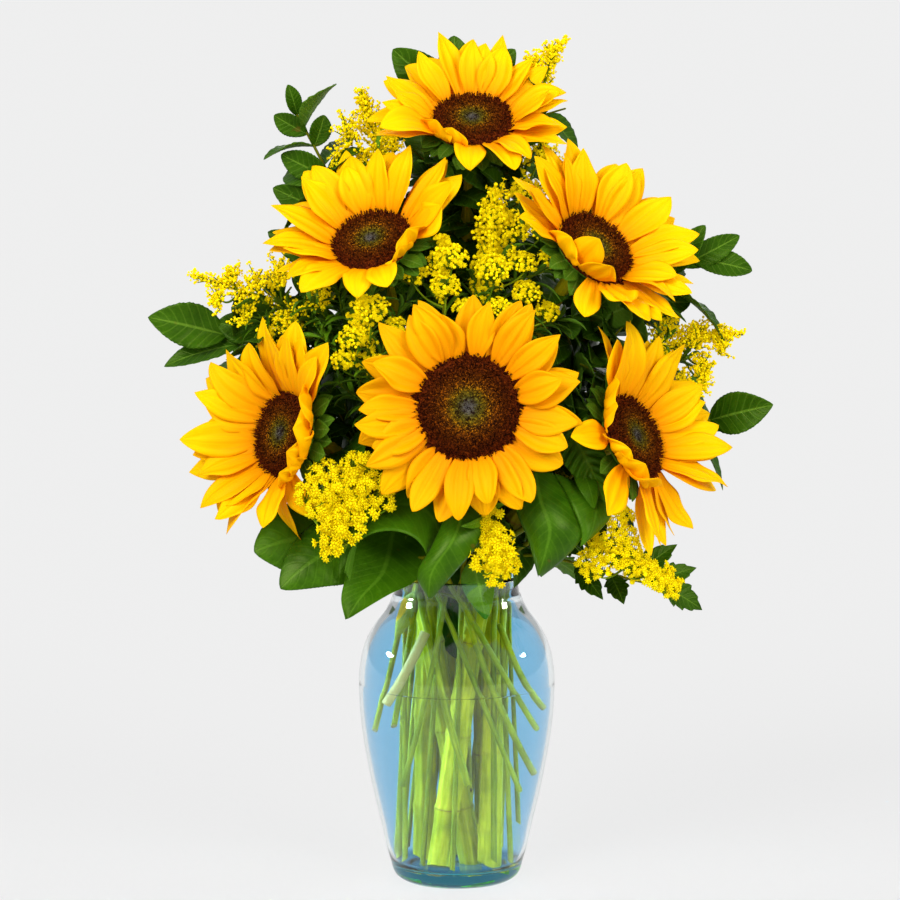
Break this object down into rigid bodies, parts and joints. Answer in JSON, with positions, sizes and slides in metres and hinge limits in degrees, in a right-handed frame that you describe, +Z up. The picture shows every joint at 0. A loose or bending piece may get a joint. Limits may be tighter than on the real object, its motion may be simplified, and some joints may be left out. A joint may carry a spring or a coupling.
{
  "type": "sunflower bouquet in a glass vase",
  "caption": "Bouquet of sunflowers with goldenrod sprigs, leafy branches and broad leaves, standing in water in a tall blue-tinted glass vase with a narrow neck.",
  "frame": {"origin": "centre of the vase's flat foot, on the surface it stands on", "axes": "+Z up along the vase's axis; +X to the viewer's right; +Y away from the viewer, so the largest sunflower faces -Y"},
  "size_m": [0.4483, 0.2552, 0.6072],
  "materials": {
    "glass": "clear blue-tinted glass, polished",
    "water": "clear still water",
    "flower_stem": "fresh green stem, ribbed, satin",
    "ray_petals": "golden yellow petals with fine lengthwise veins",
    "flower_disc": "dark brown florets, matte and fuzzy",
    "goldenrod": "tiny yellow florets on green branchlets",
    "leaf": "dark green glossy leaf with a paler midrib",
    "broad_leaf": "broad dark green leaf, glossy"
  },
  "bodies": {
    "root": {"vase": "glass", "water": "water", "sunflower_center_stem": "flower_stem", "sunflower_center_rays": "ray_petals", "sunflower_center_disc": "flower_disc", "sunflower_top_stem": "flower_stem", "sunflower_top_rays": "ray_petals", "sunflower_top_disc": "flower_disc", "sunflower_upper_left_stem": "flower_stem", "sunflower_upper_left_rays": "ray_petals", "sunflower_upper_left_disc": "flower_disc", "sunflower_upper_right_stem": "flower_stem", "sunflower_upper_right_rays": "ray_petals", "sunflower_upper_right_disc": "flower_disc", "sunflower_left_stem": "flower_stem", "sunflower_left_rays": "ray_petals", "sunflower_left_disc": "flower_disc", "sunflower_right_stem": "flower_stem", "sunflower_right_rays": "ray_petals", "sunflower_right_disc": "flower_disc", "goldenrod_top_right": "goldenrod", "goldenrod_upper_left": "goldenrod", "goldenrod_middle": "goldenrod", "goldenrod_middle_left": "goldenrod", "goldenrod_left": "goldenrod", "goldenrod_right": "goldenrod", "goldenrod_front_left": "goldenrod", "goldenrod_front": "goldenrod", "goldenrod_front_right": "goldenrod", "goldenrod_inner_left": "goldenrod", "goldenrod_back": "goldenrod", "green_left": "leaf", "green_upper_left": "leaf", "green_top": "leaf", "green_right_upper": "leaf", "green_right": "leaf", "green_low_right": "leaf", "green_back_left": "leaf", "green_back_right": "leaf", "broad_leaf_left": "broad_leaf", "broad_leaf_front_left": "broad_leaf", "broad_leaf_front": "broad_leaf", "broad_leaf_right": "broad_leaf", "broad_leaf_back_left": "broad_leaf", "broad_leaf_back_right": "broad_leaf"}
  },
  "joints": []
}
